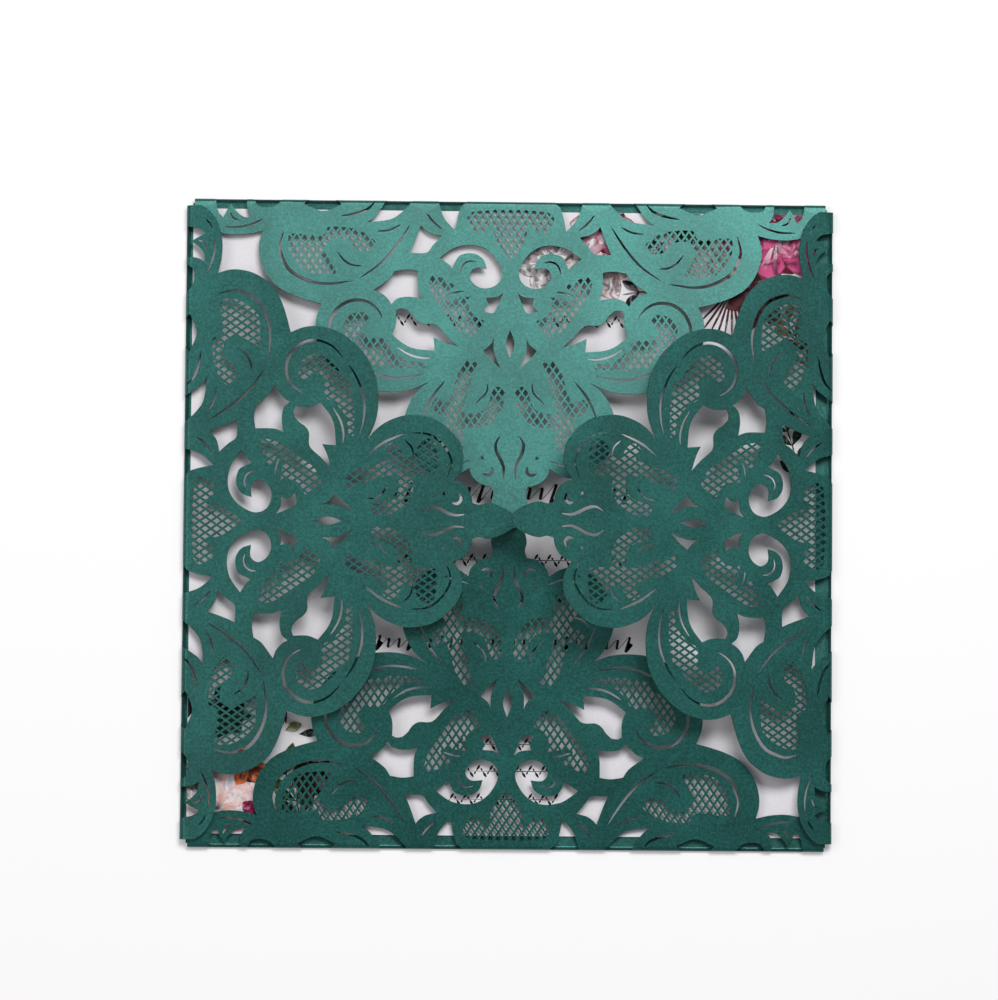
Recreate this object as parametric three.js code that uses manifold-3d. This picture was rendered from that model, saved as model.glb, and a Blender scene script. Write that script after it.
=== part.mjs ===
// A square invitation folder of shimmer card with a printed card lying inside it.
// The folder is one sheet: a plain base panel and four lace flaps, cut by laser and
// folded in so that their tips meet over the middle.
// Millimetres, +Z up. The origin is under the middle of the base panel.

import * as THREE from 'three';
import { mergeVertices } from 'three/addons/utils/BufferGeometryUtils.js';
import Module from 'manifold-3d';

const wasm = await Module();
wasm.setup();

// Driving dimensions

const SIDE = 150;                 // the folded folder, from fold to fold
const SHEET = 0.35;               // thickness of the shimmer card
const CORNER_RELIEF = 1.8;        // each fold stops this far short of the corner
const INSERT_SIDE = 144.6;        // the printed card
const INSERT_THICKNESS = 0.4;
const INSERT_SLIDE_X = -1.2;      // the printed card has slid a little to the left
const INSERT_SLIDE_Y = 0.45;      // and a little up
const LOW_FOLD_RADIUS = 0.6;      // inside of the bottom and top folds, which lie below
const HIGH_FOLD_RADIUS = 1.05;    // inside of the left and right folds, which lie above
const BOTTOM_RISE = 4.2;          // degrees that each flap springs up from the base
const TOP_RISE = 5.2;
const LEFT_RISE = 7.5;
const RIGHT_RISE = 13.5;

// How finely curves are faceted

const CHORD = 0.16;               // furthest that an edge strays from its true curve
const SLIT_CHORD = 0.16;          // the same for the narrow slits
const FOLD_STEPS = 3;             // facets in each quarter turn of a fold
const GRID = 1e-5;                // vertices are rounded to this, so that faces meet

// The lace is drawn on a folder of this side and scaled to SIDE. Its coordinates are
// u along the fold from the middle of the flap, and v from the fold towards the tip.
// Only the half with u above zero is drawn, and the other half is its mirror image.

const DRAWN_SIDE = 150;
const SCALE = SIDE / DRAWN_SIDE;

// Each shape below is a list of smooth sides. A side is a smooth curve through its
// points that ends at the first point of the next side, with a sharp corner there.

// The edge of half a flap, from its tip down to the corner of the folder: tip petal,
// small lobe, heart lobe, inner paisley, outer paisley and corner leaf.
const EDGE = [
  [[0, 77.2], [1.8, 76.3], [3.4, 73.5], [4.1, 70.8], [3.7, 68.8]],
  [[4.1, 67.2], [6, 66.8], [7.8, 65.7], [8.9, 64.2]],
  [[9.2, 62.8], [11.5, 64.3], [14, 65], [17.5, 64.4], [20.8, 62], [23.4, 58.4], [24.4, 54],
    [24.1, 50.5], [22.6, 46.8], [20.6, 44.3]],
  [[18.6, 42.8], [23.3, 44.7], [27.8, 45.2], [33, 44.6], [37.5, 42.6], [40.8, 39.8],
    [43.5, 36.2], [44.9, 31.8], [44.8, 28]],
  [[43.6, 24.7], [47, 23.8], [50.5, 22.6], [53.8, 20.8], [56, 18.4], [57.5, 15.6],
    [58.2, 12.5], [58.1, 10]],
  [[57.4, 7.6], [61, 8.4], [65, 8.5], [69, 7.5], [72, 5.4]],
];
const CORNER_LEAF_END = 3.6;      // its height where the end of the fold cuts it off

// Openings along the fold. Those that run past it are cut through its upper half.
const BELOW_FOLD = -0.6;
const FOLD_OPENINGS = [
  // notch beside the middle stem
  [[[10, BELOW_FOLD], [10.3, 0.4], [11.5, 1.5], [12.3, 4]], [[12.9, 7.1], [15.5, 4]],
    [[17, BELOW_FOLD]]],
  // crescent
  [[[22.8, BELOW_FOLD], [23, 0.4], [25.3, 2.9], [28, 4.6]], [[33.3, 5.4], [31.3, 3.8], [28.8, 0]],
    [[28.7, BELOW_FOLD]]],
  // lens under the outer paisley
  [[[39.2, 1.2], [43.5, 2.8]], [[47.9, 1.2]], [[46.7, BELOW_FOLD]], [[40.6, BELOW_FOLD]]],
  // low arch
  [[[52.4, BELOW_FOLD], [54.3, 1.5], [56.6, 2.1], [58.6, 1.6]], [[59.8, BELOW_FOLD]]],
  // two-pointed opening at the corner leaf
  [[[61.2, BELOW_FOLD], [61, 2.6]], [[60, 4.6], [62, 4.3], [63.6, 3]], [[64.8, 1.3], [65.6, 2.6]],
    [[66.6, 4.6], [67.8, 3]], [[68.5, BELOW_FOLD]]],
];

// Openings away from the fold, from the fold towards the tip.
const OPENINGS = [
  // small star by the fold
  [[[16, 8.4], [18.5, 7.8], [20, 6.8]], [[20.8, 5.9], [22.3, 10]], [[23.4, 12.5], [19.5, 12.4]],
    [[18, 10.6]]],
  // scroll at the foot of the middle stem
  [[[16.5, 13.6], [13.8, 11.6], [12, 10.8], [9.2, 10.4], [6.6, 10.9], [4.5, 12.3], [3, 14.2],
    [2, 16.5], [2.2, 18.4], [3.2, 19.8], [5, 20.6], [6.7, 20.6], [8.3, 19.8], [9.4, 18.3],
    [9.4, 17.2], [8.7, 16.2], [7.6, 15.8]],
  [[5.5, 16], [6.2, 14], [7.6, 12.8], [9.2, 12.4], [10.8, 12.6], [12.2, 13.4]],
  [[13.5, 16.1], [14.3, 15.1]]],
  // leaf over the scroll
  [[[1.6, 21.7], [3.2, 22.7]], [[5.6, 22.9], [5.2, 24.5]], [[6.4, 26.1], [5, 26.4], [3.8, 26.4]],
    [[2.8, 24.6]]],
  // four-pointed star between the paisleys
  [[[21.4, 16.7], [24, 16.4]], [[26.8, 16.8], [28.2, 18.8]], [[31.7, 21.4], [29.8, 22.1], [28.3, 23.4]],
    [[27.5, 24.7], [26.3, 23.4], [24.5, 22.9], [22.7, 22.9]], [[20.5, 23.3], [21.3, 21]]],
  // broad crescent under the inner paisley
  [[[12, 34.5], [14.5, 32.2], [17.2, 29.4], [20.3, 29.2], [21.8, 28.3], [22.8, 26.9]],
    [[24, 25.8], [25.3, 25.6]], [[26.4, 26], [26.4, 29.3]], [[27.3, 31.8], [24.5, 34], [21.8, 35.1]],
    [[17.4, 35.5]], [[17.7, 32.3], [15.5, 33.4]]],
  // arrow beside the middle lens
  [[[3.8, 32.4], [4.5, 33.9]], [[6.2, 35.3], [4.5, 37.4]], [[2.2, 39.5], [3.3, 37], [3.8, 35]]],
];

// Narrow slits: a centre line and the width at its middle. They taper to a point.
const SLITS = [
  { width: 0.65, line: [[31.4, 0.4], [33.2, 2.2], [36, 3.3], [39.3, 3.9]] },
  { width: 0.6, line: [[23.3, 5.8], [26.2, 10.4], [30, 15], [34.9, 18.6]] },
  { width: 0.85, line: [[36.5, 19.2], [42, 20], [46, 19.5], [49.5, 18], [51.8, 16], [53, 13.3],
    [53.4, 11.2], [52.6, 7.7]] },
  { width: 0.45, line: [[7.6, 14.6], [9.2, 14.3], [10.6, 14.8], [11.4, 16], [11.6, 17.3]] },
  { width: 0.55, line: [[17.7, 37.1], [20.3, 37.2], [23.3, 36.4], [26.3, 34.6]] },
  { width: 0.8, line: [[29.5, 27.9], [30.6, 26], [32.3, 24.5], [34.5, 23.8], [37, 24], [39, 25],
    [40.6, 26.7], [41.6, 29], [41.6, 31.5], [40.3, 34.5], [37.6, 37.1]] },
  { width: 0.6, line: [[36.2, 38.2], [33, 40.2], [28.5, 41.8], [24, 41.9], [19.8, 41]] },
  { width: 0.6, line: [[14.9, 42.4], [18, 46.5], [20.2, 51.5]] },
  { width: 0.55, line: [[20.3, 53], [19.9, 57], [17.5, 60.3], [13.5, 62.3], [9, 61]] },
  { width: 0.75, line: [[2.1, 55.2], [3.2, 57.2], [2.9, 59.3], [1.8, 61.5], [1.3, 63.3], [1.5, 65.5]] },
  { width: 0.8, line: [[4.1, 62.5], [4, 63.7], [4.9, 64.5], [6.3, 64.2]] },
];

// The lens on the middle line of the flap.
const LENS = { from: 30.4, to: 37.1, halfWidth: 1 };

// Curves

// Drops the points that a straight edge between their neighbours comes near enough to.
function thin(points, tolerance) {
  if (points.length < 3) return points;
  const first = points[0];
  const last = points[points.length - 1];
  const chord = new THREE.Line3(
    new THREE.Vector3(first.x, first.y, 0),
    new THREE.Vector3(last.x, last.y, 0),
  );
  const nearest = new THREE.Vector3();
  let worst = 0;
  let worstIndex = 0;
  for (let i = 1; i < points.length - 1; i++) {
    const point = new THREE.Vector3(points[i].x, points[i].y, 0);
    chord.closestPointToPoint(point, true, nearest);
    const stray = nearest.distanceTo(point);
    if (stray > worst) {
      worst = stray;
      worstIndex = i;
    }
  }
  if (worst <= tolerance) return [first, last];
  const before = thin(points.slice(0, worstIndex + 1), tolerance);
  const after = thin(points.slice(worstIndex), tolerance);
  return [...before.slice(0, -1), ...after];
}

// A smooth curve through drawn points, as folder-sized points.
function smoothCurve(drawn) {
  return new THREE.SplineCurve(drawn.map(([u, v]) => new THREE.Vector2(u * SCALE, v * SCALE)));
}

const SAMPLES_PER_SPAN = 12;

// The points of a chain of smooth sides, without the last side's end point.
function chain(sides, end) {
  const points = [];
  sides.forEach((side, i) => {
    const next = i + 1 < sides.length ? sides[i + 1][0] : end;
    const through = [...side, next];
    const spans = through.length - 1;
    const samples = spans > 1
      ? smoothCurve(through).getPoints(spans * SAMPLES_PER_SPAN)
      : smoothCurve(through).getPoints(1);
    points.push(...thin(samples, CHORD).slice(0, -1));
  });
  return points;
}

function closedOutline(sides) {
  const points = chain(sides, sides[0][0]);
  return points.filter((point, i) => point.distanceTo(points[(i + 1) % points.length]) > GRID);
}

// A slit as wide as its width in the middle, tapering to a point at both ends.
function slitOutline({ width, line }) {
  const curve = smoothCurve(line);
  const steps = (line.length - 1) * SAMPLES_PER_SPAN;
  const left = [];
  const right = [];
  for (let i = 0; i <= steps; i++) {
    const along = i / steps;
    const middle = curve.getPointAt(along);
    const tangent = curve.getTangentAt(along);
    const reach = 0.5 * width * SCALE * Math.sin(Math.PI * along);
    left.push(new THREE.Vector2(middle.x - tangent.y * reach, middle.y + tangent.x * reach));
    right.push(new THREE.Vector2(middle.x + tangent.y * reach, middle.y - tangent.x * reach));
  }
  const up = thin(left, SLIT_CHORD);
  const down = thin(right, SLIT_CHORD).reverse();
  return [...up.slice(0, -1), ...down.slice(0, -1)];
}

function mirrored(points) {
  return points.map((point) => new THREE.Vector2(-point.x, point.y)).reverse();
}

// Solids

function rounded(geometry) {
  const positions = geometry.getAttribute('position');
  for (let i = 0; i < positions.array.length; i++) {
    positions.array[i] = Math.round(positions.array[i] / GRID) * GRID;
  }
  return geometry;
}

function solidFrom(geometry) {
  const bare = rounded(geometry.clone());
  bare.deleteAttribute('normal');
  bare.deleteAttribute('uv');
  const merged = mergeVertices(bare, GRID / 2);
  return new wasm.Manifold(new wasm.Mesh({
    numProp: 3,
    vertProperties: new Float32Array(merged.getAttribute('position').array),
    triVerts: new Uint32Array(merged.getIndex().array),
  }));
}

function geometryFrom(solid) {
  const mesh = solid.getMesh();
  const geometry = new THREE.BufferGeometry();
  geometry.setAttribute('position', new THREE.Float32BufferAttribute(mesh.vertProperties, 3));
  geometry.setIndex(new THREE.Uint32BufferAttribute(mesh.triVerts, 1));
  return geometry;
}

// A flat shape in u and v, made solid from one height to another.
function prism(points, bottom, top) {
  const geometry = new THREE.ExtrudeGeometry(new THREE.Shape(points), {
    depth: top - bottom,
    bevelEnabled: false,
  });
  geometry.translate(0, 0, bottom);
  return geometry;
}

// A section across the fold, run along it from one side of the flap to the other.
function alongFold(section, halfLength) {
  const geometry = prism(section, -halfLength, halfLength);
  const turned = new THREE.Matrix4().makeBasis(
    new THREE.Vector3(0, 1, 0),
    new THREE.Vector3(0, 0, 1),
    new THREE.Vector3(1, 0, 0),
  );
  return geometry.applyMatrix4(turned);
}

// The section of a fold between two angles about its centre.
function foldSection(centre, insideRadius, fromAngle, toAngle) {
  const outer = [];
  const inner = [];
  for (let i = 0; i <= FOLD_STEPS; i++) {
    const angle = fromAngle + ((toAngle - fromAngle) * i) / FOLD_STEPS;
    const across = new THREE.Vector2(Math.cos(angle), Math.sin(angle));
    outer.push(across.clone().multiplyScalar(insideRadius + SHEET).add(centre));
    inner.push(across.clone().multiplyScalar(insideRadius).add(centre));
  }
  return [...outer, ...inner.reverse()];
}

// One flap

const FOLD_HALF_LENGTH = SIDE / 2 - CORNER_RELIEF;
const CUT_REACH = 1;              // cutting shapes stand this far past the sheet

// The leaf at the corner is cut off where the fold ends.
function flapOutline(foldReach) {
  const corner = [FOLD_HALF_LENGTH / SCALE, CORNER_LEAF_END];
  const edge = chain(EDGE, corner);
  edge.push(new THREE.Vector2(FOLD_HALF_LENGTH, CORNER_LEAF_END * SCALE));
  edge.push(new THREE.Vector2(FOLD_HALF_LENGTH, foldReach));
  return [...mirrored(edge), ...edge.slice(1)];
}

function flapCuts() {
  const halves = [
    ...FOLD_OPENINGS.map(closedOutline),
    ...OPENINGS.map(closedOutline),
    ...SLITS.map(slitOutline),
  ];
  const lens = closedOutline([
    [[0, LENS.from], [LENS.halfWidth, (LENS.from + LENS.to) / 2]],
    [[0, LENS.to], [-LENS.halfWidth, (LENS.from + LENS.to) / 2]],
  ]);
  return [...halves, ...halves.map(mirrored), lens];
}

// The flap lies flat here, with its underside at height zero and v starting where the
// fold ends. The upper quarter of the fold hangs down behind it.
function flatFlap(insideRadius, rise) {
  const foldReach = insideRadius + SHEET;
  const sheet = prism(flapOutline(foldReach), 0, SHEET).translate(0, -foldReach, 0);
  const centre = new THREE.Vector2(0, -insideRadius);
  const quarter = foldSection(centre, insideRadius, Math.PI / 2, Math.PI - rise);
  let flap = solidFrom(sheet).add(solidFrom(alongFold(quarter, FOLD_HALF_LENGTH)));
  for (const points of flapCuts()) {
    const cutter = prism(points, -foldReach - CUT_REACH, SHEET + CUT_REACH);
    flap = flap.subtract(solidFrom(cutter.translate(0, -foldReach, 0)));
  }
  return geometryFrom(flap);
}

// The flap folded up at the front side of the folder, then turned to its own side.
function foldedFlap({ insideRadius, rise, turn }) {
  const angle = THREE.MathUtils.degToRad(rise);
  const foldReach = insideRadius + SHEET;
  const flap = flatFlap(insideRadius, angle);
  flap.translate(0, 0, insideRadius);
  flap.rotateX(angle);
  flap.translate(0, foldReach - SIDE / 2, foldReach);
  flap.rotateZ(turn * Math.PI / 2);
  return flap;
}

// The lower quarter of a fold, which joins the base to a flap.
function lowerFold({ insideRadius, turn }) {
  const foldReach = insideRadius + SHEET;
  const centre = new THREE.Vector2(foldReach - SIDE / 2, foldReach);
  const quarter = foldSection(centre, insideRadius, Math.PI, 1.5 * Math.PI);
  return alongFold(quarter, FOLD_HALF_LENGTH).rotateZ(turn * Math.PI / 2);
}

// The pieces

const FLAPS = [
  { insideRadius: LOW_FOLD_RADIUS, rise: BOTTOM_RISE, turn: 0 },
  { insideRadius: HIGH_FOLD_RADIUS, rise: RIGHT_RISE, turn: 1 },
  { insideRadius: LOW_FOLD_RADIUS, rise: TOP_RISE, turn: 2 },
  { insideRadius: HIGH_FOLD_RADIUS, rise: LEFT_RISE, turn: 3 },
];

function laserCutWrap() {
  const baseWidth = SIDE - 2 * (HIGH_FOLD_RADIUS + SHEET);
  const baseDepth = SIDE - 2 * (LOW_FOLD_RADIUS + SHEET);
  const base = new THREE.BoxGeometry(baseWidth, baseDepth, SHEET).translate(0, 0, SHEET / 2);
  let wrap = solidFrom(base);
  for (const flap of FLAPS) {
    wrap = wrap.add(solidFrom(lowerFold(flap)));
  }
  for (const flap of FLAPS) {
    wrap = wrap.add(solidFrom(foldedFlap(flap)));
  }
  return geometryFrom(wrap);
}

function printedInsertCard() {
  const card = new THREE.BoxGeometry(INSERT_SIDE, INSERT_SIDE, INSERT_THICKNESS);
  return rounded(card.translate(0, 0, INSERT_THICKNESS / 2));
}

const shimmerCard = new THREE.MeshStandardMaterial({
  color: 0x2b6a61,
  roughness: 0.45,
  metalness: 0.35,
  side: THREE.DoubleSide,
});

const matteCard = new THREE.MeshStandardMaterial({ color: 0xf4f2f1, roughness: 0.8, metalness: 0 });

const wrap = new THREE.Mesh(laserCutWrap(), shimmerCard);
wrap.name = 'laser_cut_wrap';

const insert = new THREE.Mesh(printedInsertCard(), matteCard);
insert.name = 'printed_insert_card';
insert.position.set(INSERT_SLIDE_X, INSERT_SLIDE_Y, SHEET);

const invitation = new THREE.Group();
invitation.add(wrap, insert);

export default invitation;
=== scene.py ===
import bisect
import math
import random

import bmesh
import bpy
from mathutils import Matrix, Vector
from mathutils.geometry import delaunay_2d_cdt


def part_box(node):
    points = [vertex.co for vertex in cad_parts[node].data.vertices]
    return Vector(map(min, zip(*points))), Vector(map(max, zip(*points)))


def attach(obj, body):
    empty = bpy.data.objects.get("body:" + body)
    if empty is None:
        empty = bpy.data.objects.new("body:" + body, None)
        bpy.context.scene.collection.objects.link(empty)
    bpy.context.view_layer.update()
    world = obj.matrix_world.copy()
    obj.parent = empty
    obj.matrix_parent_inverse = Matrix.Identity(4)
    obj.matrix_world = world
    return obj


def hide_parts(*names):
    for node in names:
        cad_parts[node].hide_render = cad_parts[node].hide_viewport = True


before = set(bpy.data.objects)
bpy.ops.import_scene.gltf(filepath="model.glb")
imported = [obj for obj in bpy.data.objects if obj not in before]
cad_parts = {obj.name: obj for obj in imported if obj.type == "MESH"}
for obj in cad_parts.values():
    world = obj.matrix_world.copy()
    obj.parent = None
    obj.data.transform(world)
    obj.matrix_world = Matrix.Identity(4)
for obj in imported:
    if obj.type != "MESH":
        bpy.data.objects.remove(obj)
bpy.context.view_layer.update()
MM = 0.001

# The folder is one sheet of shimmer card, 0.35 mm thick: a plain base panel and four lace
# flaps. The laser cuts the flaps while the sheet lies flat, and each is then rolled up over
# its fold. Here the sheet is cut flat in the same way and bent afterwards.

wrap_low, wrap_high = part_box("laser_cut_wrap")
SIDE = (wrap_high[0] - wrap_low[0]) / MM
SHEET = 0.35
LOW_FOLD_RADIUS = 0.6
HIGH_FOLD_RADIUS = 1.05
FOLD_HALF_LENGTH = SIDE / 2 - 1.8
# The flaps run anticlockwise from the bottom one. A rise is how steeply a flap stands, in degrees.
FLAPS = [
    {"turn": 0, "radius": LOW_FOLD_RADIUS, "rise": 4.2},
    {"turn": 1, "radius": HIGH_FOLD_RADIUS, "rise": 13.5},
    {"turn": 2, "radius": LOW_FOLD_RADIUS, "rise": 5.2},
    {"turn": 3, "radius": HIGH_FOLD_RADIUS, "rise": 7.5},
]
FOLD_FACETS = 10
CURVE_STEPS = 6
MESH_CURVE_STEPS = 3

# Shapes are half a flap, u along the fold and v from the fold to the tip. Each is a list of
# smooth sides, and a side ends at the first point of the next one.
EDGE = [
    [(0, 77.2), (1.8, 76.3), (3.4, 73.5), (4.1, 70.8), (3.7, 68.8)],
    [(4.1, 67.2), (6, 66.8), (7.8, 65.7), (8.9, 64.2)],
    [(9.2, 62.8), (11.5, 64.3), (14, 65), (17.5, 64.4), (20.8, 62), (23.4, 58.4), (24.4, 54),
     (24.1, 50.5), (22.6, 46.8), (20.6, 44.3)],
    [(18.6, 42.8), (23.3, 44.7), (27.8, 45.2), (33, 44.6), (37.5, 42.6), (40.8, 39.8),
     (43.5, 36.2), (44.9, 31.8), (44.8, 28)],
    [(43.6, 24.7), (47, 23.8), (50.5, 22.6), (53.8, 20.8), (56, 18.4), (57.5, 15.6),
     (58.2, 12.5), (58.1, 10)],
    [(57.4, 7.6), (61, 8.4), (65, 8.5), (69, 7.5), (72, 5.4)],
    [(FOLD_HALF_LENGTH, 3.6)],
]
BELOW = -0.6
OPENINGS = [
    [[(10, BELOW), (10.3, 0.4), (11.5, 1.5), (12.3, 4)], [(12.9, 7.1), (15.5, 4)], [(17, BELOW)]],
    [[(22.8, BELOW), (23, 0.4), (25.3, 2.9), (28, 4.6)], [(33.3, 5.4), (31.3, 3.8), (28.8, 0)],
     [(28.7, BELOW)]],
    [[(39.2, 1.2), (43.5, 2.8)], [(47.9, 1.2)], [(46.7, BELOW)], [(40.6, BELOW)]],
    [[(52.4, BELOW), (54.3, 1.5), (56.6, 2.1), (58.6, 1.6)], [(59.8, BELOW)]],
    [[(61.2, BELOW), (61, 2.6)], [(60, 4.6), (62, 4.3), (63.6, 3)], [(64.8, 1.3), (65.6, 2.6)],
     [(66.6, 4.6), (67.8, 3)], [(68.5, BELOW)]],
    [[(16, 8.4), (18.5, 7.8), (20, 6.8)], [(20.8, 5.9), (22.3, 10)], [(23.4, 12.5), (19.5, 12.4)],
     [(18, 10.6)]],
    [[(16.5, 13.6), (13.8, 11.6), (12, 10.8), (9.2, 10.4), (6.6, 10.9), (4.5, 12.3), (3, 14.2),
      (2, 16.5), (2.2, 18.4), (3.2, 19.8), (5, 20.6), (6.7, 20.6), (8.3, 19.8), (9.4, 18.3),
      (9.4, 17.2), (8.7, 16.2), (7.6, 15.8)],
     [(5.5, 16), (6.2, 14), (7.6, 12.8), (9.2, 12.4), (10.8, 12.6), (12.2, 13.4)],
     [(13.5, 16.1), (14.3, 15.1)]],
    [[(1.6, 21.7), (3.2, 22.7)], [(5.6, 22.9), (5.2, 24.5)], [(6.4, 26.1), (5, 26.4), (3.8, 26.4)],
     [(2.8, 24.6)]],
    [[(21.4, 16.7), (24, 16.4)], [(26.8, 16.8), (28.2, 18.8)],
     [(31.7, 21.4), (29.8, 22.1), (28.3, 23.4)],
     [(27.5, 24.7), (26.3, 23.4), (24.5, 22.9), (22.7, 22.9)], [(20.5, 23.3), (21.3, 21)]],
    [[(12, 34.5), (14.5, 32.2), (17.2, 29.4), (20.3, 29.2), (21.8, 28.3), (22.8, 26.9)],
     [(24, 25.8), (25.3, 25.6)], [(26.4, 26), (26.4, 29.3)], [(27.3, 31.8), (24.5, 34), (21.8, 35.1)],
     [(17.4, 35.5)], [(17.7, 32.3), (15.5, 33.4)]],
    [[(3.8, 32.4), (4.5, 33.9)], [(6.2, 35.3), (4.5, 37.4)], [(2.2, 39.5), (3.3, 37), (3.8, 35)]],
    [[(5.8, 60.9)], [(6.8, 60.7)], [(6.2, 59.9)]],
    [[(12.5, 61.3)], [(12.8, 61.6)], [(13.1, 61.3)], [(12.8, 61)]],
]
LENS = [[(0, 30.4), (1, 33.7)], [(0, 37.1), (-1, 33.7)]]

# Each slit is the width of the cut and the line that it follows.
SLITS = [
    (0.5, [(15.8, 6.9), (18, 5), (19.5, 3)]),
    (0.65, [(31.4, 0.4), (33.2, 2.2), (36, 3.3), (39.3, 3.9)]),
    (0.5, [(57.3, 4.8), (60, 6.1), (63, 6.8), (66.3, 6.8)]),
    (0.45, [(67.7, 6.2), (69, 5.5), (70, 4.7)]),
    (0.45, [(62.7, 5.2), (64.3, 4.6), (65.1, 3)]),
    (0.5, [(25.5, 5.8), (28, 7.1), (31, 7.5)]),
    (0.6, [(23.3, 5.8), (26.2, 10.4), (30, 15), (34.9, 18.6)]),
    (0.85, [(36.5, 19.2), (42, 20), (46, 19.5), (49.5, 18), (51.8, 16), (53, 13.3), (53.4, 11.2),
            (52.6, 7.7)]),
    (0.5, [(34.4, 15.7), (36.5, 15.5), (38.5, 14.4), (40.1, 12.3)]),
    (0.45, [(7.6, 14.6), (9.2, 14.3), (10.6, 14.8), (11.4, 16), (11.6, 17.3)]),
    (0.45, [(10.6, 21.4), (12.7, 21.7), (14.7, 22.4)]),
    (0.55, [(17.7, 37.1), (20.3, 37.2), (23.3, 36.4), (26.3, 34.6)]),
    (0.8, [(29.5, 27.9), (30.6, 26), (32.3, 24.5), (34.5, 23.8), (37, 24), (39, 25), (40.6, 26.7),
           (41.6, 29), (41.6, 31.5), (40.3, 34.5), (37.6, 37.1)]),
    (0.6, [(36.2, 38.2), (33, 40.2), (28.5, 41.8), (24, 41.9), (19.8, 41)]),
    (0.6, [(14.9, 42.4), (18, 46.5), (20.2, 51.5)]),
    (0.55, [(20.3, 53), (19.9, 57), (17.5, 60.3), (13.5, 62.3), (9, 61)]),
    (0.45, [(5.1, 43), (5.5, 45.3), (8, 47.8)]),
    (0.45, [(14.8, 53.6), (17, 53), (18.6, 51.4)]),
    (0.75, [(2.1, 55.2), (3.2, 57.2), (2.9, 59.3), (1.8, 61.5), (1.3, 63.3), (1.5, 65.5)]),
    (0.8, [(4.1, 62.5), (4, 63.7), (4.9, 64.5), (6.3, 64.2)]),
]

# The petals are filled with a mesh of small diamonds, inside these outlines.
MESH_AREAS = [
    [(-3.4, 9), (-4, 5.5), (-5, 5.3), (-5.5, 7), (-8.6, 7.2), (-8.8, 2.6), (8.8, 2.6), (8.6, 7.2),
     (5.5, 7), (5, 5.3), (4, 5.5), (3.4, 9), (0, 13.6)],
    [(30.9, 10.3), (32.5, 8.9), (35.2, 7.2), (38.5, 6.6), (42.3, 6.6), (43.3, 8.6), (46, 8.6),
     (50.9, 8.3), (51.5, 11), (50.4, 13.8), (47.7, 17), (44.4, 17.6), (40.4, 17.6), (41.7, 15),
     (42.8, 12.1), (41.7, 9.5), (38.5, 9.3), (36.5, 11.4), (33, 12.2)],
    [(5.5, 28.5), (8, 27.5), (9.5, 25.6), (9.4, 23.6), (8.7, 22.6), (14, 23.2), (15.2, 22.3),
     (13, 20.1), (15.7, 18.5), (17.7, 17.7), (18.9, 18.6), (18.6, 20.8), (17.8, 22.9), (16.2, 25.6),
     (14, 28.5), (11.7, 30.9), (9, 32.1), (6.7, 30.4)],
    [(19.7, 38.4), (24.2, 37.6), (27.2, 35.1), (28.7, 32.8), (32.2, 32.6), (34.2, 31.4), (34, 29.6),
     (32.5, 28), (33.2, 26.6), (36.2, 26.9), (38.2, 28.2), (38.7, 30.4), (37.7, 33), (34.2, 36.7),
     (30.2, 39.4), (19.7, 39.6)],
    [(7.5, 38.2), (11, 38.2), (14.2, 47.6), (16.8, 46.6), (18, 48.8), (14.9, 51.6), (14.8, 53),
     (18.8, 56), (17.5, 58.8), (11, 58.7), (10.3, 53.6), (6.5, 53.4), (2.4, 50.4), (1.2, 45),
     (3.6, 44), (5.4, 48.6), (8.2, 50), (10.6, 48.6)],
]
DIAMOND_PITCH = 1.8
DIAMOND_ROW = 1.33
DIAMOND_HALF_WIDTH = 0.62
DIAMOND_HALF_LENGTH = 0.9
SMALLEST_HOLE = 0.2
CLIP_STEP = 0.03
MERGE_DISTANCE = 0.002
WELD_DISTANCE = 0.0001
LEAN_LIMIT = 1.2
SHARP_ANGLE = math.radians(30)
CARD_FACE, CUT_FACE = 0, 1


def smooth_points(points, steps=CURVE_STEPS):
    """Points along a smooth curve through the given ones."""
    if len(points) < 3:
        return [Vector(p) for p in points]
    knots = [Vector(p) for p in points]
    first = 2 * knots[0] - knots[1]
    last = 2 * knots[-1] - knots[-2]
    knots = [first] + knots + [last]
    smooth = []
    for before, start, end, after in zip(knots, knots[1:], knots[2:], knots[3:]):
        for step in range(steps):
            t = step / steps
            smooth.append(0.5 * (2 * start + (end - before) * t
                                 + (2 * before - 5 * start + 4 * end - after) * t ** 2
                                 + (3 * start - before - 3 * end + after) * t ** 3))
    return smooth + [knots[-2]]


def chain(sides, end):
    """The sides joined at their corners, up to but without the end point."""
    starts = [side[0] for side in sides[1:]] + [end]
    points = []
    for side, corner in zip(sides, starts):
        points += smooth_points(side + [corner])[:-1]
    return points


def slit_outline(width, line):
    """A narrow cut along a line, widest in the middle and pointed at both ends."""
    middle = smooth_points(line)
    left = []
    right = []
    for i, point in enumerate(middle):
        ahead = middle[min(i + 1, len(middle) - 1)] - middle[max(i - 1, 0)]
        across = Vector((-ahead.y, ahead.x)).normalized()
        reach = 0.5 * width * max(math.sin(math.pi * i / (len(middle) - 1)), 0) ** 0.5
        left.append(point + across * reach)
        right.append(point - across * reach)
    return left[:-1] + right[:0:-1]


def mirrored(points):
    """The same outline on the other half of the flap."""
    return [Vector((-p.x, p.y)) for p in reversed(points)]


def clipped(area, diamond):
    """The part of an area that lies inside a diamond, whose corners run anticlockwise."""
    kept = area
    for a, b in zip(diamond, diamond[1:] + diamond[:1]):
        side = b - a
        depths = [side.cross(p - a) for p in kept]
        crossed = []
        for i, point in enumerate(kept):
            before, depth = depths[i - 1], depths[i]
            if (before > 0) != (depth > 0):
                crossed.append(kept[i - 1].lerp(point, before / (before - depth)))
            if depth > 0:
                crossed.append(point)
        kept = crossed
        if len(kept) < 3:
            return []
    return [p for i, p in enumerate(kept) if (p - kept[i - 1]).length > CLIP_STEP]


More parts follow.
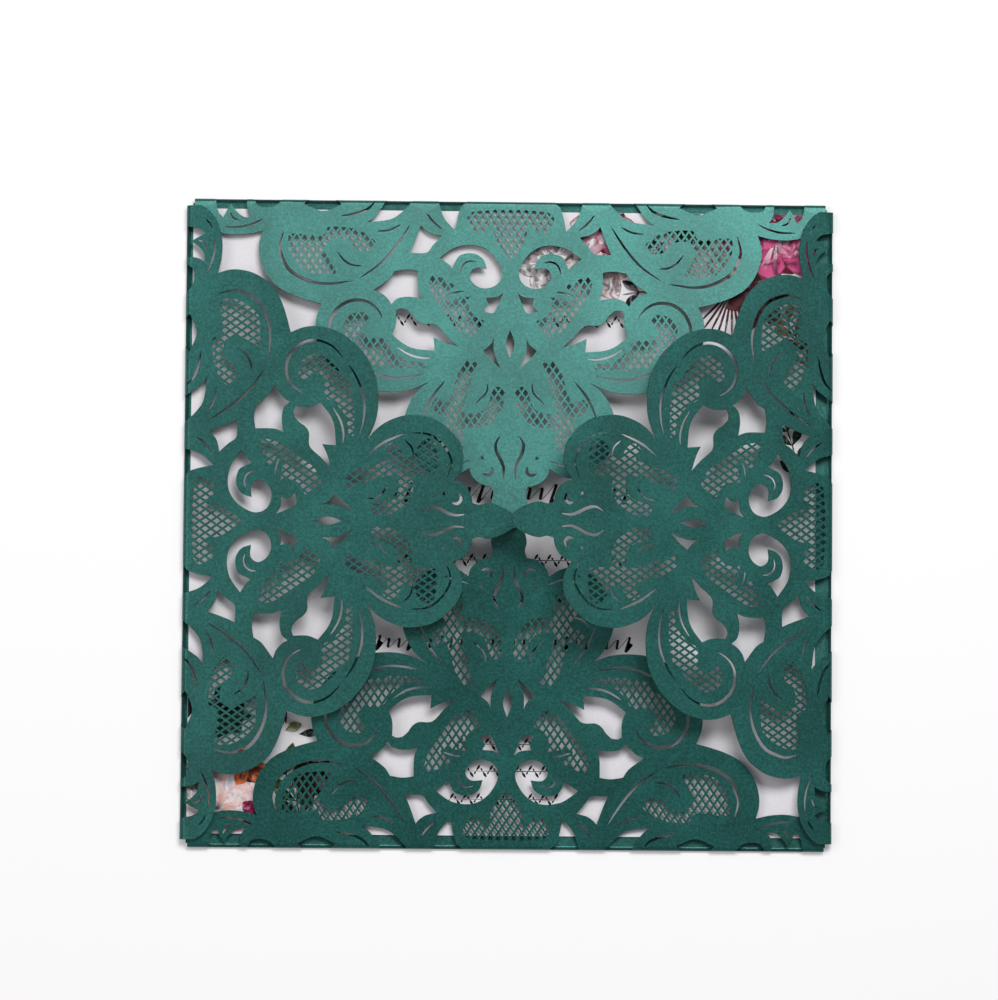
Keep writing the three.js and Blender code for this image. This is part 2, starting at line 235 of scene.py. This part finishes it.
def signed_area(points):
    """The area that a closed outline holds, below zero where the outline runs clockwise."""
    return sum(a.cross(b) for a, b in zip(points, points[1:] + points[:1])) / 2


def diamonds():
    """The diamonds of the mesh, cut off at the edges of the mesh areas of half a flap."""
    areas = [smooth_points(area + area[:1], MESH_CURVE_STEPS)[:-1] for area in MESH_AREAS]
    tips = [Vector((DIAMOND_HALF_WIDTH, 0)), Vector((0, DIAMOND_HALF_LENGTH)),
            Vector((-DIAMOND_HALF_WIDTH, 0)), Vector((0, -DIAMOND_HALF_LENGTH))]
    found = []
    for row in range(int(SIDE / 2 / DIAMOND_ROW)):
        shift = 0.5 * (row % 2)
        for column in range(int(SIDE / 2 / DIAMOND_PITCH)):
            centre = Vector(((column + shift) * DIAMOND_PITCH, row * DIAMOND_ROW))
            for area in areas:
                piece = clipped(area, [centre + tip for tip in tips])
                if len(piece) > 2 and abs(signed_area(piece)) > SMALLEST_HOLE:
                    found.append(piece)
    return found


def fold_arc(radius, rise):
    """How much of the sheet goes round a fold, measured along its middle."""
    return (radius + SHEET / 2) * (math.pi - rise)


def onto_fold(point, radius, rise):
    """Moves a drawn point to where it lies on the flat sheet, counted from the base."""
    fold_reach = radius + SHEET
    fold_length = fold_arc(radius, rise)
    if point.y >= fold_reach:
        return Vector((point.x, fold_length + point.y - fold_reach))
    lean = min((fold_reach - point.y) / fold_reach, LEAN_LIMIT)
    angle = math.asin(min(lean, 1)) + max(lean - 1, 0)
    return Vector((point.x, fold_length - (radius + SHEET / 2) * angle))


def within(point, shape):
    """Whether a point lies inside a closed shape."""
    inside = False
    for a, b in zip(shape, shape[1:] + shape[:1]):
        if (a.y > point.y) != (b.y > point.y):
            if point.x < a.x + (b.x - a.x) * (point.y - a.y) / (b.y - a.y):
                inside = not inside
    return inside


def thicken(bm, faces, thickness):
    """Closes flat faces into a solid with a copy of them above, and gives back its corners."""
    raised = bmesh.ops.extrude_face_region(bm, geom=faces)["geom"]
    lids = [part for part in raised if isinstance(part, bmesh.types.BMVert)]
    bmesh.ops.translate(bm, verts=lids, vec=(0, 0, thickness))
    return lids


def cut_sheet(outline, cuts, creases):
    """A flat sheet with its cuts, from below zero up to zero, in triangles split at each crease."""
    points = []
    lines = []
    for shape in cuts:
        first = len(points)
        points += shape
        last = len(points) - 1
        lines += [(i, i + 1) for i in range(first, last)] + [(last, first)]
    for crease in creases:
        lines.append((len(points), len(points) + 1))
        points += crease
    border = list(range(len(points), len(points) + len(outline)))
    if signed_area(outline) < 0:
        border.reverse()
    split = delaunay_2d_cdt(points + outline, lines, [border], 0, MERGE_DISTANCE)
    places, edges, triangles, vertex_sources, edge_sources, face_sources = split

    inside = []
    for corners, sources in zip(triangles, face_sources):
        if sources:
            middle = sum((places[i] for i in corners), Vector((0, 0))) / 3
            inside.append((middle, corners))
    inside.sort(key=lambda entry: entry[0].x)
    across = [middle.x for middle, corners in inside]
    removed = set()
    for shape in cuts:
        start = bisect.bisect_left(across, min(p.x for p in shape))
        end = bisect.bisect_right(across, max(p.x for p in shape))
        low = min(p.y for p in shape)
        high = max(p.y for p in shape)
        for i in range(start, end):
            middle = inside[i][0]
            if low < middle.y < high and within(middle, shape):
                removed.add(i)

    bm = bmesh.new()
    verts = [bm.verts.new((p.x, p.y, -SHEET)) for p in places]
    for i, (middle, corners) in enumerate(inside):
        if i not in removed:
            bm.faces.new([verts[corner] for corner in corners])
    bmesh.ops.delete(bm, geom=[v for v in bm.verts if not v.link_faces], context="VERTS")
    thicken(bm, bm.faces[:], SHEET)
    bmesh.ops.recalc_face_normals(bm, faces=bm.faces)
    return bm


def flat_flap(radius, rise):
    """One flap, cut while the sheet lies flat. The inside of the folder is at height zero."""
    half = chain(EDGE, (FOLD_HALF_LENGTH, radius + SHEET))
    half = [onto_fold(p, radius, rise) for p in half]
    outline = mirrored(half) + half[1:]
    outline = [Vector((-FOLD_HALF_LENGTH, 0))] + outline + [Vector((FOLD_HALF_LENGTH, 0))]
    cuts = [chain(sides, sides[0][0]) for sides in OPENINGS]
    cuts += [slit_outline(width, line) for width, line in SLITS]
    cuts += diamonds()
    cuts += [mirrored(cut) for cut in cuts if min(p.x for p in cut) > 0]
    cuts.append(chain(LENS, LENS[0][0]))
    cuts = [[onto_fold(p, radius, rise) for p in cut] for cut in cuts]
    facet = fold_arc(radius, rise) / FOLD_FACETS
    creases = [[Vector((-SIDE / 2, facet * i)), Vector((SIDE / 2, facet * i))]
               for i in range(1, FOLD_FACETS + 1)]
    return cut_sheet(outline, cuts, creases)


def roll_up(bm, radius, rise, turn):
    """Bends a flat flap over its fold and turns it to its own side of the folder."""
    fold_length = fold_arc(radius, rise)
    centre_y = radius + SHEET - SIDE / 2
    centre_z = radius + SHEET
    for vert in bm.verts:
        along, depth = vert.co.y, -vert.co.z
        angle = 1.5 * math.pi - min(along, fold_length) / (radius + SHEET / 2)
        beyond = max(along - fold_length, 0)
        out = Vector((0, math.cos(angle), math.sin(angle)))
        onward = Vector((0, math.sin(angle), -math.cos(angle)))
        place = out * (radius + depth) + onward * beyond
        vert.co = Vector((vert.co.x, centre_y, centre_z)) + place
    bmesh.ops.rotate(bm, verts=bm.verts, matrix=Matrix.Rotation(turn * math.pi / 2, 3, "Z"))


def wrap_mesh():
    """The base panel with its four flaps, welded into one closed sheet."""
    whole = bmesh.new()
    for flap in FLAPS:
        rise = math.radians(flap["rise"])
        bm = flat_flap(flap["radius"], rise)
        for face in bm.faces:
            face.normal_update()
            face.material_index = CARD_FACE if abs(face.normal.z) > 0.5 else CUT_FACE
        seam = [f for f in bm.faces if all(v.co.y < WELD_DISTANCE for v in f.verts)]
        bmesh.ops.delete(bm, geom=seam, context="FACES_ONLY")
        roll_up(bm, flap["radius"], rise, flap["turn"])
        rolled = bpy.data.meshes.new("rolled")
        bm.to_mesh(rolled)
        bm.free()
        whole.from_mesh(rolled)
        bpy.data.meshes.remove(rolled)
    half_x = SIDE / 2 - HIGH_FOLD_RADIUS - SHEET
    half_y = SIDE / 2 - LOW_FOLD_RADIUS - SHEET
    rim = []
    for sx, sy in ((-1, -1), (1, -1), (1, 1), (-1, 1)):
        on_x = (sx * FOLD_HALF_LENGTH, sy * half_y)
        on_y = (sx * half_x, sy * FOLD_HALF_LENGTH)
        corner = (sx * half_x, sy * half_y)
        rim += [on_x, corner, on_y] if sx == -sy else [on_y, corner, on_x]
    base = whole.faces.new([whole.verts.new((x, y, 0)) for x, y in rim])
    thicken(whole, [base], SHEET)
    folded_sides = [face for face in whole.faces if len(face.verts) == 4
                    and max(edge.calc_length() for edge in face.edges) > FOLD_HALF_LENGTH
                    and abs(face.calc_center_median().z - SHEET / 2) < WELD_DISTANCE]
    bmesh.ops.delete(whole, geom=folded_sides, context="FACES_ONLY")
    bmesh.ops.remove_doubles(whole, verts=whole.verts, dist=WELD_DISTANCE)
    bmesh.ops.recalc_face_normals(whole, faces=whole.faces)
    bmesh.ops.scale(whole, verts=whole.verts, vec=(MM, MM, MM))
    mesh = bpy.data.meshes.new("laser_cut_wrap_sheet")
    whole.to_mesh(mesh)
    whole.free()
    fold_start = half_x * MM
    for polygon in mesh.polygons:
        reach = max(abs(polygon.center.x), abs(polygon.center.y))
        polygon.use_smooth = reach > fold_start
    mesh.set_sharp_from_angle(angle=SHARP_ANGLE)
    return mesh


class Value:
    """A socket that takes part in sums, each of which adds a Math node."""

    def __init__(self, tree, socket):
        self.tree = tree
        self.socket = socket

    def math(self, operation, other):
        settings = {"operation": operation}
        return add_node(self.tree, "ShaderNodeMath", settings, **{"0": self, "1": other})

    def __add__(self, other):
        return self.math("ADD", other)

    __radd__ = __add__

    def __mul__(self, other):
        return self.math("MULTIPLY", other)

    __rmul__ = __mul__

    def feed(self, shader, name):
        """Links the value to one of the shader's sockets."""
        self.tree.links.new(self.socket, shader.inputs[name])


def add_node(tree, kind, settings=None, output=0, **inputs):
    """Adds a node, sets it up, feeds its inputs and gives back one output as a Value."""
    node = tree.nodes.new(kind)
    for name, setting in (settings or {}).items():
        if name == "stops":
            ramp = node.color_ramp
            while len(ramp.elements) < len(setting):
                ramp.elements.new(0.5)
            for element, (position, colour) in zip(ramp.elements, setting):
                element.position = position
                element.color = (*colour, 1)
        else:
            setattr(node, name, setting)
    for name, feed in inputs.items():
        socket = node.inputs[int(name)] if name.isdigit() else node.inputs[name.replace("_", " ")]
        if isinstance(feed, Value):
            tree.links.new(feed.socket, socket)
        elif isinstance(feed, tuple) and len(feed) == 3 and len(socket.default_value) == 4:
            socket.default_value = (*feed, 1)
        else:
            socket.default_value = feed
    return Value(tree, node.outputs[output])


def new_material(name):
    """An empty material with its surface shader, and the tree they live in."""
    material = bpy.data.materials.new(name)
    material.use_nodes = True
    tree = material.node_tree
    shader = tree.nodes["Principled BSDF"]
    return material, tree, shader


def shimmer_card():
    """Pearl-coated card: teal pigment under fine flakes that catch the light."""
    material, tree, shader = new_material("shimmer_card")
    place = add_node(tree, "ShaderNodeTexCoord", output="Object")
    clouds = add_node(tree, "ShaderNodeTexNoise", Vector=place, Scale=60.0, Detail=4.0)
    flakes = add_node(tree, "ShaderNodeTexNoise", Vector=place, Scale=1900.0, Detail=4.0)
    sparkle = add_node(tree, "ShaderNodeTexVoronoi", Vector=place, Scale=3200.0)
    tone = clouds * 0.4 + flakes * 0.6
    colour = add_node(tree, "ShaderNodeValToRGB", {"stops": [
        (0.38, (0.008, 0.076, 0.065)), (0.5, (0.012, 0.114, 0.097)), (0.62, (0.023, 0.162, 0.14))]},
        Fac=tone)
    colour.feed(shader, "Base Color")
    rough = 0.29 + flakes * 0.12
    rough.feed(shader, "Roughness")
    shader.inputs["Metallic"].default_value = 0.45
    grain = flakes * 0.6 + sparkle * 0.4
    bump = add_node(tree, "ShaderNodeBump", Strength=0.4, Distance=0.00004, Height=grain)
    bump.feed(shader, "Normal")
    return material


def cut_edge():
    """The core of the card where the laser went through, dark and matt."""
    material, tree, shader = new_material("cut_edge")
    place = add_node(tree, "ShaderNodeTexCoord", output="Object")
    fibres = add_node(tree, "ShaderNodeTexNoise", Vector=place, Scale=1500.0, Detail=2.0)
    colour = add_node(tree, "ShaderNodeValToRGB", {"stops": [
        (0.35, (0.006, 0.035, 0.03)), (0.7, (0.014, 0.06, 0.052))]}, Fac=fibres)
    colour.feed(shader, "Base Color")
    shader.inputs["Roughness"].default_value = 0.85
    return material


def add_piece(name, mesh, materials):
    """A finished piece at the origin, with its materials on the object."""
    piece = bpy.data.objects.new(name, mesh)
    bpy.context.collection.objects.link(piece)
    while len(mesh.materials) < len(materials):
        mesh.materials.append(None)
    for slot, material in zip(piece.material_slots, materials):
        slot.link = "OBJECT"
        slot.material = material
    return piece


wrap = add_piece("laser_cut_wrap_sheet", wrap_mesh(), [shimmer_card(), cut_edge()])
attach(wrap, "root")
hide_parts("laser_cut_wrap")

# The printed card is plain matt white stock, lying loose on the base panel. It keeps its
# modelled solid and gets the surface of uncoated card.

INSERT_LOW, INSERT_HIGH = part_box("printed_insert_card")


def matte_card():
    """Uncoated card, its white broken a little by the fibres."""
    material, tree, shader = new_material("matte_card")
    place = add_node(tree, "ShaderNodeTexCoord", output="Object")
    fibres = add_node(tree, "ShaderNodeTexNoise", Vector=place, Scale=1800.0, Detail=3.0)
    colour = add_node(tree, "ShaderNodeValToRGB", {"stops": [
        (0.3, (0.84, 0.82, 0.85)), (0.7, (0.88, 0.865, 0.89))]}, Fac=fibres)
    colour.feed(shader, "Base Color")
    shader.inputs["Roughness"].default_value = 0.8
    bump = add_node(tree, "ShaderNodeBump", Strength=0.2, Distance=0.00003, Height=fibres)
    bump.feed(shader, "Normal")
    return material


insert = bpy.data.objects["printed_insert_card"]
for slot in insert.material_slots:
    slot.link = "OBJECT"
    slot.material = matte_card()

# The printing on the card: loose garden flowers and leaves at two corners, and rows of black
# penwork between them. The ink is a film on the card, one shape over another.

INK_FILM = 0.01
INK_STEP = 0.0006
EDGE_GAP = 0.05
SMALLEST_PRINT = 0.01
PETAL_POINTS = 9
PETAL_CROWDING = 3.8
VEINS = (-0.24, -0.1, 0.05, 0.2)
EYE_DOTS = 9
HAIRLINE = 0.2
PEN_THIN = 0.14
PEN_SLANT = 0.55
PEN_POINTS = 17
WHITE = (0.86, 0.82, 0.84)
BLUSH = (0.86, 0.62, 0.6)
PINK = (0.68, 0.1, 0.27)
MAGENTA = (0.4, 0.008, 0.1)
BURGUNDY = (0.1, 0.004, 0.018)
ORANGE = (0.8, 0.19, 0.05)
BROWN = (0.11, 0.045, 0.04)
OLIVE = (0.16, 0.2, 0.05)
DARK_GREEN = (0.015, 0.055, 0.03)
BLACK = (0.006, 0.006, 0.008)
draw = random.Random(7)


def petal(centre, turn, length, width, colours):
    """One rounded petal or pointed leaf, with its colours running from foot to tip."""
    ahead = Vector((math.cos(turn), math.sin(turn)))
    across = Vector((-ahead.y, ahead.x))
    left = []
    right = []
    for i in range(PETAL_POINTS):
        t = i / (PETAL_POINTS - 1)
        spread = 0.5 * width * math.sin(math.pi * (0.02 + 0.96 * t) ** 1.25)
        point = Vector(centre) + ahead * length * t
        part = t * (len(colours) - 1)
        below = min(int(part), len(colours) - 2)
        colour = [a + (b - a) * (part - below) for a, b in zip(colours[below], colours[below + 1])]
        left.append((point + across * spread, colour))
        right.append((point - across * spread, colour))
    return left + right[::-1]


def flower(centre, radius, petals, colours, dark, light):
    """Two rings of loose petals with dark gaps and pale streaks, round a dark eye."""
    ground = radius * 1.6
    shapes = [petal((centre[0] - ground / 2, centre[1]), 0, ground, ground, [dark, dark])]
    for ring, reach in ((0, 1.0), (1, 0.5)):
        for i in range(petals):
            angle = math.tau * (i + 0.5 * ring) / petals + draw.uniform(-0.12, 0.12)
            length = radius * reach * draw.uniform(0.9, 1.08)
            width = length * PETAL_CROWDING / petals
            shapes.append(petal(centre, angle, length * 1.02, width * 1.06, [dark, dark, colours[-2]]))
            shapes.append(petal(centre, angle, length, width, colours))
            for vein in VEINS:
                foot = Vector(centre) + Vector((math.cos(angle), math.sin(angle))) * length * 0.25
                streak = length * draw.uniform(0.35, 0.6)
                tone = light if draw.random() < 0.5 else dark
                shapes.append(petal(foot, angle + vein, streak, length * 0.06, [tone, colours[-1]]))
    for i in range(EYE_DOTS):
        angle = math.tau * i / EYE_DOTS
        shapes.append(petal(centre, angle, radius * 0.16, radius * 0.08, [BLACK, dark]))
    return shapes


def sprig(root, turn, length, leaves, leaf_length, colours):
    """A curved stem with pairs of leaves, each with a pale rib."""
    shapes = []
    at = Vector(root)
    step = length / leaves
    for i in range(leaves):
        heading = turn + 0.1 * i
        shapes.append(petal(at, heading, step * 1.3, 0.35, colours[:1] * 2))
        for side in (-1, 1):
            angle = heading + side * draw.uniform(0.6, 0.9)
            size = leaf_length * draw.uniform(0.8, 1.1)
            shapes.append(petal(at, angle, size, size * 0.4, colours))
            shapes.append(petal(at, angle, size * 0.8, 0.14, colours[-1:] * 2))
        at = at + Vector((math.cos(heading), math.sin(heading))) * step
    return shapes


def fan(root, turn, spread, count, length, colours):
    """Thin grasses that spread out from one point."""
    shapes = []
    for i in range(count):
        angle = turn + spread * (i / (count - 1) - 0.5)
        shapes.append(petal(root, angle, length * draw.uniform(0.8, 1.1), 0.55, colours))
    return shapes


def stroke(points, thin, thick):
    """A pen stroke along a line of points, thicker where the pen comes down."""
    left = []
    right = []
    for i, point in enumerate(points):
        ahead = points[min(i + 1, len(points) - 1)] - points[max(i - 1, 0)]
        ahead.normalize()
        width = thin + (thick - thin) * max(-ahead.y, 0)
        across = Vector((-ahead.y, ahead.x)) * width / 2
        left.append((point + across, BLACK))
        right.append((point - across, BLACK))
    return left + right[::-1]


def vine_border(row_y, half_length, pitch, leaf_length):
    """A row of small leaves that lean to and fro along a hairline."""
    shapes = [petal((-half_length, row_y), 0, 2 * half_length, HAIRLINE, [BLACK, BLACK])]
    for i in range(int(2 * half_length / pitch)):
        root = (i * pitch - half_length, row_y)
        side = 1 if i % 2 == 0 else -1
        shapes.append(petal(root, side * 1.0, leaf_length, leaf_length * 0.34, [BLACK, BLACK]))
        shapes.append(petal(root, side * -2.1, leaf_length * 0.5, leaf_length * 0.24, [BLACK, BLACK]))
    return shapes


def scroll_border(row_y, half_length, pitch, height, thick):
    """A running border of leaning pen waves with thick down strokes."""
    shapes = []
    for i in range(int(2 * half_length / pitch)):
        x = i * pitch - half_length
        tall = height * (1 if i % 3 == 0 else 0.6)
        points = []
        for k in range(PEN_POINTS):
            t = k / (PEN_POINTS - 1)
            y = tall * 0.5 * math.sin(math.tau * t)
            points.append(Vector((x + pitch * t + y * PEN_SLANT, row_y + y)))
        shapes.append(stroke(points, PEN_THIN, thick))
    return shapes


def mix_colours(tree, blend_type, factor, a, b):
    """Blends two colours. A Mix node's colours are its inputs 6 and 7 and its output 2."""
    settings = {"data_type": "RGBA", "blend_type": blend_type}
    return add_node(tree, "ShaderNodeMix", settings, output=2, **{"0": factor, "6": a, "7": b})


def printed_ink(name, roughness, deepest, bleached):
    """Ink whose colour is painted on the shapes, with darker washes and bleached patches."""
    material, tree, shader = new_material(name)
    ink = add_node(tree, "ShaderNodeAttribute", {"attribute_name": "ink"})
    place = add_node(tree, "ShaderNodeTexCoord", output="Object")
    wash = add_node(tree, "ShaderNodeTexNoise", Vector=place, Scale=330.0, Detail=4.0, Distortion=1.2)
    patch = add_node(tree, "ShaderNodeTexNoise", Vector=place, Scale=240.0, Detail=3.0, Distortion=2.0)
    shade = add_node(tree, "ShaderNodeValToRGB", {"stops": [
        (0.42, (deepest, deepest, deepest)), (0.52, (1.0, 1.0, 1.0))]}, Fac=wash)
    bleach = add_node(tree, "ShaderNodeValToRGB", {"stops": [
        (0.54, (0.0, 0.0, 0.0)), (0.66, (bleached, bleached, bleached))]}, Fac=patch)
    washed = mix_colours(tree, "MULTIPLY", 1.0, ink, shade)
    colour = mix_colours(tree, "MIX", bleach, washed, WHITE)
    colour.feed(shader, "Base Color")
    shader.inputs["Roughness"].default_value = roughness
    shader.inputs["Specular IOR Level"].default_value = 0.15
    return material


def add_print(name, shapes, first_layer, step, material):
    """Printed shapes as thin films of ink on the card, each a step over the one before."""
    bm = bmesh.new()
    ink = bm.loops.layers.float_color.new("ink")
    low = [c / MM + EDGE_GAP for c in INSERT_LOW]
    high = [c / MM - EDGE_GAP for c in INSERT_HIGH]
    card_top = INSERT_HIGH[2] / MM
    for layer, shape in enumerate(shapes):
        shape = [(Vector((min(max(p.x, low[0]), high[0]), min(max(p.y, low[1]), high[1]))), colour)
                 for p, colour in shape]
        if abs(signed_area([p for p, colour in shape])) < SMALLEST_PRINT:
            continue
        level = card_top + first_layer * INK_STEP + layer * step
        verts = [bm.verts.new((p.x, p.y, level)) for p, colour in shape]
        lids = thicken(bm, [bm.faces.new(verts)], INK_FILM)
        colours = {(round(p.x, 3), round(p.y, 3)): colour for p, colour in shape}
        for vert in verts + lids:
            colour = colours[(round(vert.co.x, 3), round(vert.co.y, 3))]
            for loop in vert.link_loops:
                loop[ink] = (*colour, 1)
    bmesh.ops.recalc_face_normals(bm, faces=bm.faces)
    bmesh.ops.scale(bm, verts=bm.verts, vec=(MM, MM, MM))
    mesh = bpy.data.meshes.new(name)
    bm.to_mesh(mesh)
    bm.free()
    piece = add_piece(name, mesh, [material])
    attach(piece, "root")


top_corner = sprig((40, 60), 1.2, 10, 3, 7, [BLACK, DARK_GREEN])
top_corner += sprig((46, 71), 3.5, 16, 4, 7, [BLACK, DARK_GREEN, OLIVE])
top_corner += sprig((69, 38), 1.9, 14, 4, 5.5, [DARK_GREEN, ORANGE, OLIVE])
top_corner += sprig((67, 12), 1.7, 14, 4, 5, [DARK_GREEN, DARK_GREEN])
top_corner += flower((9.5, 60.5), 8, 6, [BROWN, BROWN, WHITE, WHITE], BROWN, WHITE)
top_corner += flower((20.5, 60), 8, 6, [BROWN, BROWN, BLUSH, WHITE], BROWN, BROWN)
top_corner += flower((21.5, 69.5), 8, 6, [BURGUNDY, MAGENTA, MAGENTA, WHITE], BURGUNDY, WHITE)
top_corner += sprig((33, 54.5), 3.2, 6, 2, 5, [BLACK, BLACK])
top_corner += fan((51.5, 55), -1.8, 1.1, 8, 14, [BURGUNDY, BROWN, BLACK])
top_corner += flower((46.5, 60), 6, 6, [PINK, WHITE, WHITE], BLUSH, WHITE)
top_corner += flower((57, 54.5), 8, 7, [BURGUNDY, BURGUNDY, BURGUNDY, BROWN], BURGUNDY, BLACK)
top_corner += flower((62.8, 70), 14, 7, [BURGUNDY, MAGENTA, PINK, PINK], BURGUNDY, WHITE)
low_corner = sprig((-47, -71), 1.7, 17, 5, 7, [BLACK, DARK_GREEN, OLIVE])
low_corner += flower((-65, -44), 6.5, 7, [BLACK, DARK_GREEN, DARK_GREEN], BLACK, OLIVE)
low_corner += flower((-44.5, -59), 5, 7, [BLACK, DARK_GREEN, BURGUNDY], BLACK, PINK)
low_corner += [petal((-74, -46), 1.4, 6, 3, [BLACK, BLACK])]
low_corner += [petal((-51.2, -41.5), -1.5, 5, 0.8, [BROWN, BROWN])]
low_corner += [petal((-50.9, -45.6), -2.3, 7, 0.8, [BROWN, BURGUNDY])]
low_corner += [petal((-51, -48), 0.4, 4, 2.4, [OLIVE, OLIVE])]
low_corner += [petal((-47.8, -48.8), 0.1, 4.5, 1.9, [DARK_GREEN, BLACK])]
pale_flower = flower((-66.5, -66), 13, 6, [ORANGE, BLUSH, BLUSH, WHITE], BLUSH, WHITE)
low_flowers = flower((-74, -60), 5.5, 6, [BLACK, DARK_GREEN, WHITE], DARK_GREEN, WHITE)
low_flowers += flower((-59.5, -56.5), 4.4, 6, [MAGENTA, ORANGE, ORANGE, ORANGE], BURGUNDY, BLUSH)
low_flowers += flower((-57.5, -67), 3.6, 5, [BURGUNDY, MAGENTA], BURGUNDY, BLACK)

flower_ink = printed_ink("flower_ink", roughness=0.55, deepest=0.3, bleached=0.3)
pale_ink = printed_ink("pale_ink", roughness=0.55, deepest=0.75, bleached=0.5)
pen_ink = printed_ink("pen_ink", roughness=0.5, deepest=0.9, bleached=0.0)
add_print("printed_top_flowers", top_corner, 0, INK_STEP, flower_ink)
add_print("printed_low_leaves", low_corner, 0, INK_STEP, flower_ink)
pale_layer = len(low_corner)
add_print("printed_pale_flower", pale_flower, pale_layer, INK_STEP, pale_ink)
add_print("printed_low_flowers", low_flowers, pale_layer + len(pale_flower), INK_STEP, flower_ink)

penwork = vine_border(47.3, 27, 1.5, 1.7)
penwork += scroll_border(7.2, 33, 2.8, 4.6, 0.75)
penwork += vine_border(-8.3, 30, 1.5, 1.8)
penwork += vine_border(-16.7, 14, 1.5, 1.6)
penwork += scroll_border(-27.6, 31, 2.4, 3.6, 0.6)
penwork += vine_border(-50.8, 11, 1.5, 1.7)
penwork += vine_border(-57, 13, 1.5, 1.7)
penwork += vine_border(-63.5, 13, 1.5, 1.7)
add_print("printed_penwork", penwork, 0, 0, pen_ink)

# The table is a plain white surface that the folder lies on. It is lit like the folder, and
# only the camera sees it a little brighter.

FLOOR_SIZE = 3.0
FLOOR_GLOW = 0.2


def pale_floor():
    """A matt white surface that glows a little towards the camera alone."""
    material, tree, shader = new_material("pale_floor")
    shader.inputs["Base Color"].default_value = (0.88, 0.88, 0.88, 1)
    shader.inputs["Roughness"].default_value = 0.7
    glow = add_node(tree, "ShaderNodeLightPath") * FLOOR_GLOW
    glow.feed(shader, "Emission Color")
    shader.inputs["Emission Strength"].default_value = 1.0
    return material


floor_bm = bmesh.new()
bmesh.ops.create_grid(floor_bm, x_segments=1, y_segments=1, size=FLOOR_SIZE / 2)
floor_mesh = bpy.data.meshes.new("floor")
floor_bm.to_mesh(floor_mesh)
floor_bm.free()
floor = add_piece("floor", floor_mesh, [pale_floor()])

# The camera looks down from 1.2 m, a little from the near left, with the card's base panel
# on the same four corners as in the photograph.

CAMERA_DISTANCE = 1.2
CAMERA_AZIMUTH = math.radians(-20)
CAMERA_ELEVATION = math.radians(85.48)
CAMERA_ROLL = math.radians(-0.44)
CAMERA_TARGET = Vector((-0.00227, 0.0054, 0.004))
FOCAL_PIXELS = 5194
IMAGE_WIDTH = 998
SENSOR = 36

aim = Vector((math.sin(CAMERA_AZIMUTH) * math.cos(CAMERA_ELEVATION),
              -math.cos(CAMERA_AZIMUTH) * math.cos(CAMERA_ELEVATION),
              math.sin(CAMERA_ELEVATION)))
up_hint = Vector((math.sin(CAMERA_ROLL), math.cos(CAMERA_ROLL), 0))
right = (-aim).cross(up_hint).normalized()
up = right.cross(-aim)
camera_data = bpy.data.cameras.new("camera")
camera_data.sensor_width = SENSOR
camera_data.lens = FOCAL_PIXELS / IMAGE_WIDTH * SENSOR
camera = bpy.data.objects.new("camera", camera_data)
bpy.context.collection.objects.link(camera)
turned = Matrix((right, up, aim)).transposed().to_4x4()
camera.matrix_world = Matrix.Translation(CAMERA_TARGET + aim * CAMERA_DISTANCE) @ turned
bpy.context.scene.camera = camera

# A large soft window light from the far side and a weaker one from the left. The room
# around gives the rest.

ROOM_COLOUR = (0.96, 0.92, 0.97, 1)
ROOM_STRENGTH = 0.26


def soft_light(name, place, size, power, colour):
    """A rectangular light that faces the folder."""
    data = bpy.data.lights.new(name, "AREA")
    data.shape = "RECTANGLE"
    data.size, data.size_y = size
    data.energy = power
    data.color = colour
    light = bpy.data.objects.new(name, data)
    bpy.context.collection.objects.link(light)
    light.location = place
    light.rotation_euler = (-Vector(place)).to_track_quat("-Z", "Y").to_euler()


soft_light("window", place=(0.2, 0.62, 1.1), size=(0.75, 0.45), power=10.8, colour=(1, 1, 1))
soft_light("left_window", place=(-0.8, 0.1, 1.0), size=(0.9, 0.6), power=3.2, colour=(1, 0.98, 0.99))

world = bpy.data.worlds.new("room")
bpy.context.scene.world = world
world.use_nodes = True
background = world.node_tree.nodes["Background"]
background.inputs["Color"].default_value = ROOM_COLOUR
background.inputs["Strength"].default_value = ROOM_STRENGTH

bpy.context.scene.view_settings.view_transform = "Standard"
